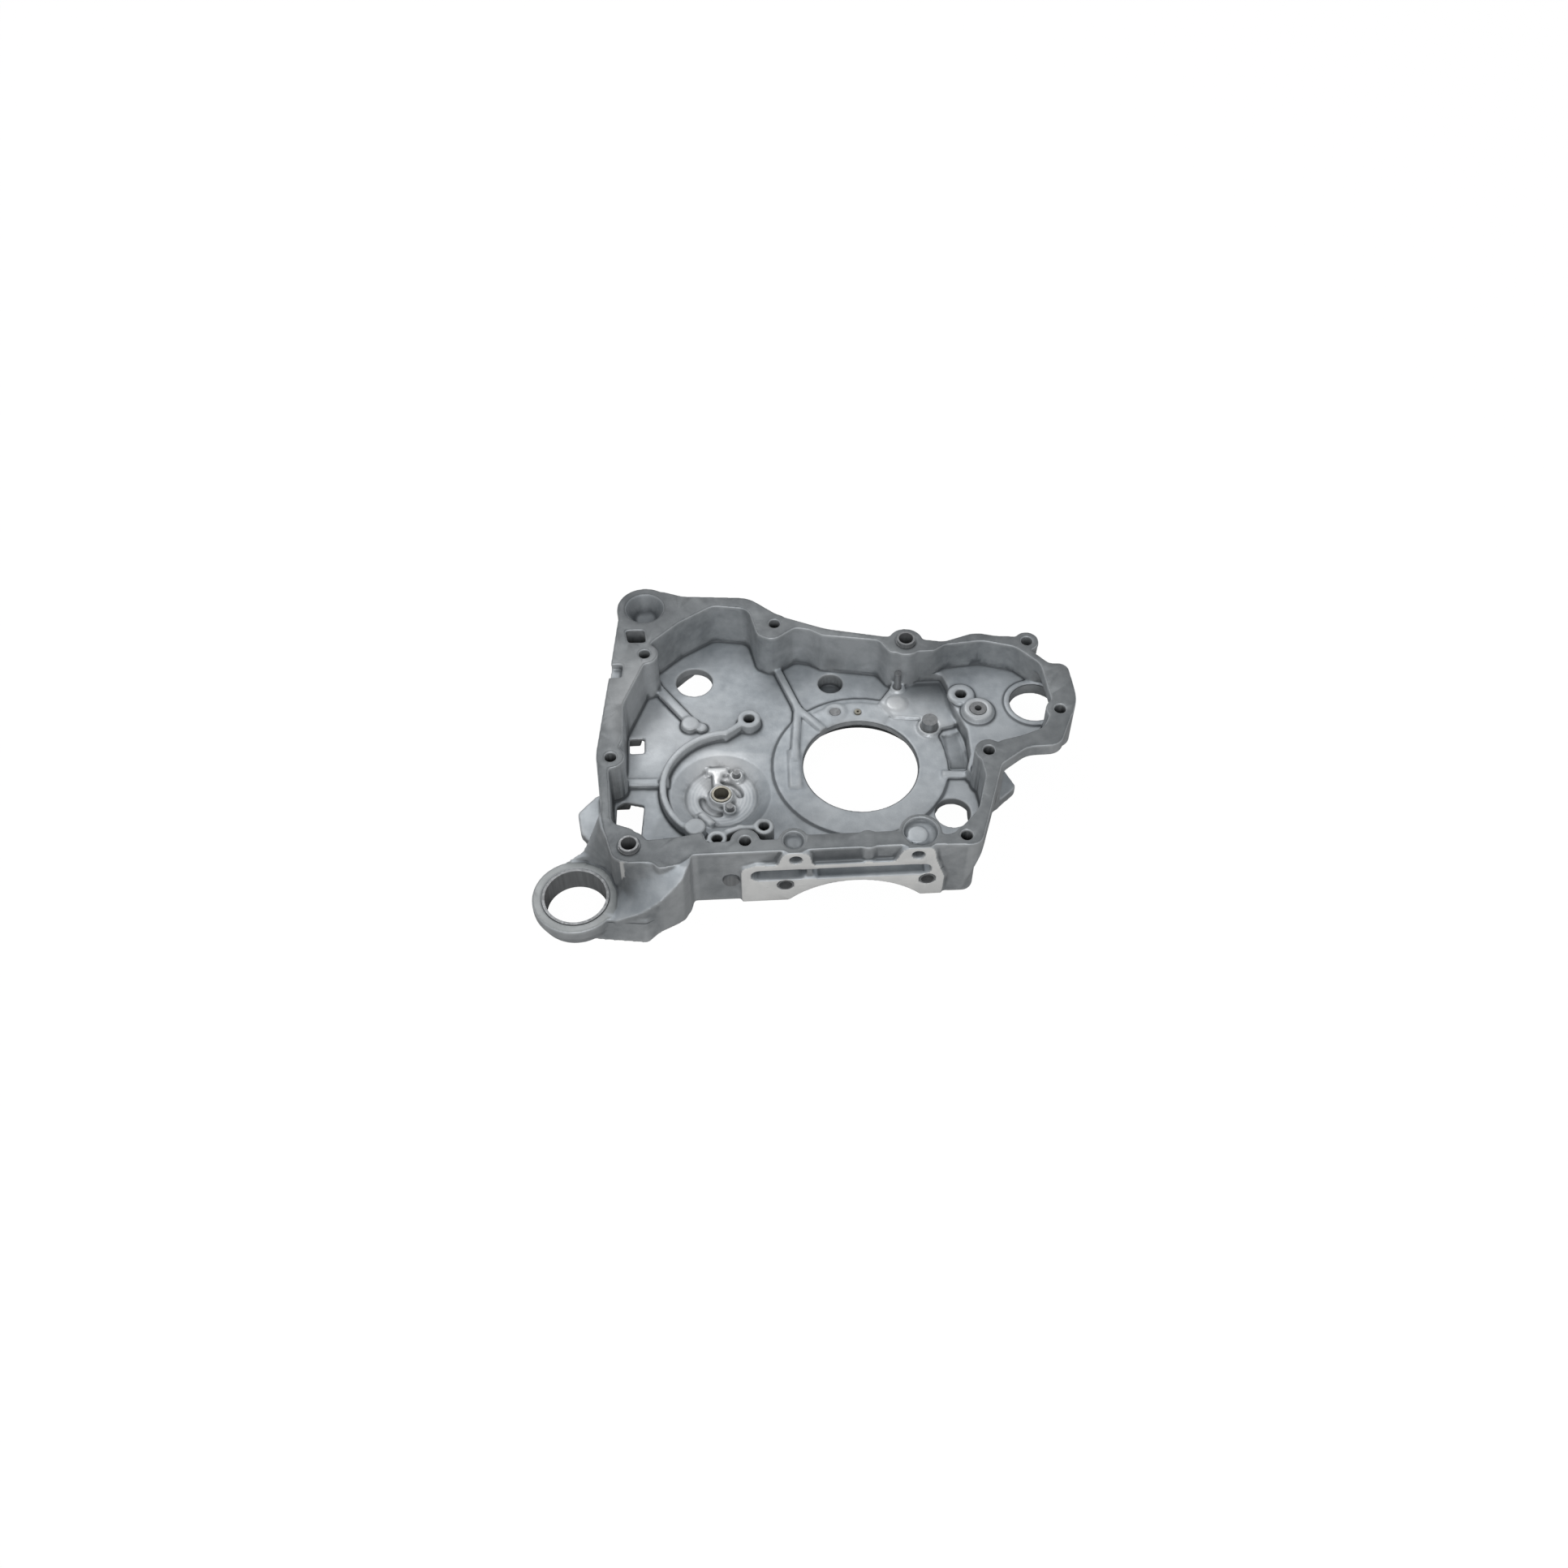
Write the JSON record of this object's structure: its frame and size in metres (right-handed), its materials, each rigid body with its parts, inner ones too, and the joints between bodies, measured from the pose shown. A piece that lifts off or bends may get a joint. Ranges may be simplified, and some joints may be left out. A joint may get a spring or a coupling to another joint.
{
  "type": "crankcase half",
  "caption": "Deep die-cast crankcase half of a small scooter engine with bearing opening, oil pump seat, hanger eye and cylinder base.",
  "frame": {"origin": "on the crankshaft axis, in the split face that meets the other crankcase half", "axes": "+Z out of the engine towards the side cover, +X up the engine towards the starter, -Y along the cylinder"},
  "size_m": [0.2438, 0.1781, 0.0365],
  "materials": {
    "cast_aluminium": "satin",
    "insert_iron": "matte",
    "bright_steel": "satin",
    "bush_bronze": "satin",
    "plug_aluminium": "satin"
  },
  "bodies": {
    "root": {"crankcase_casting": "cast_aluminium", "main_bearing_insert": "insert_iron", "hanger_eye_sleeve": "bright_steel", "cover_dowel_upper": "bright_steel", "cover_dowel_lower": "bright_steel", "stud_insert_left": "bright_steel", "stud_insert_right": "bright_steel", "pump_shaft_bush": "bush_bronze", "pump_pin_front": "bright_steel", "pump_pin_rear": "bright_steel", "oil_gallery_plug": "plug_aluminium", "oil_jet": "bush_bronze", "chain_guide_pin": "bright_steel", "tensioner_pivot": "bright_steel", "idler_shaft_bush": "bright_steel", "side_gallery_plug": "plug_aluminium"}
  },
  "joints": []
}
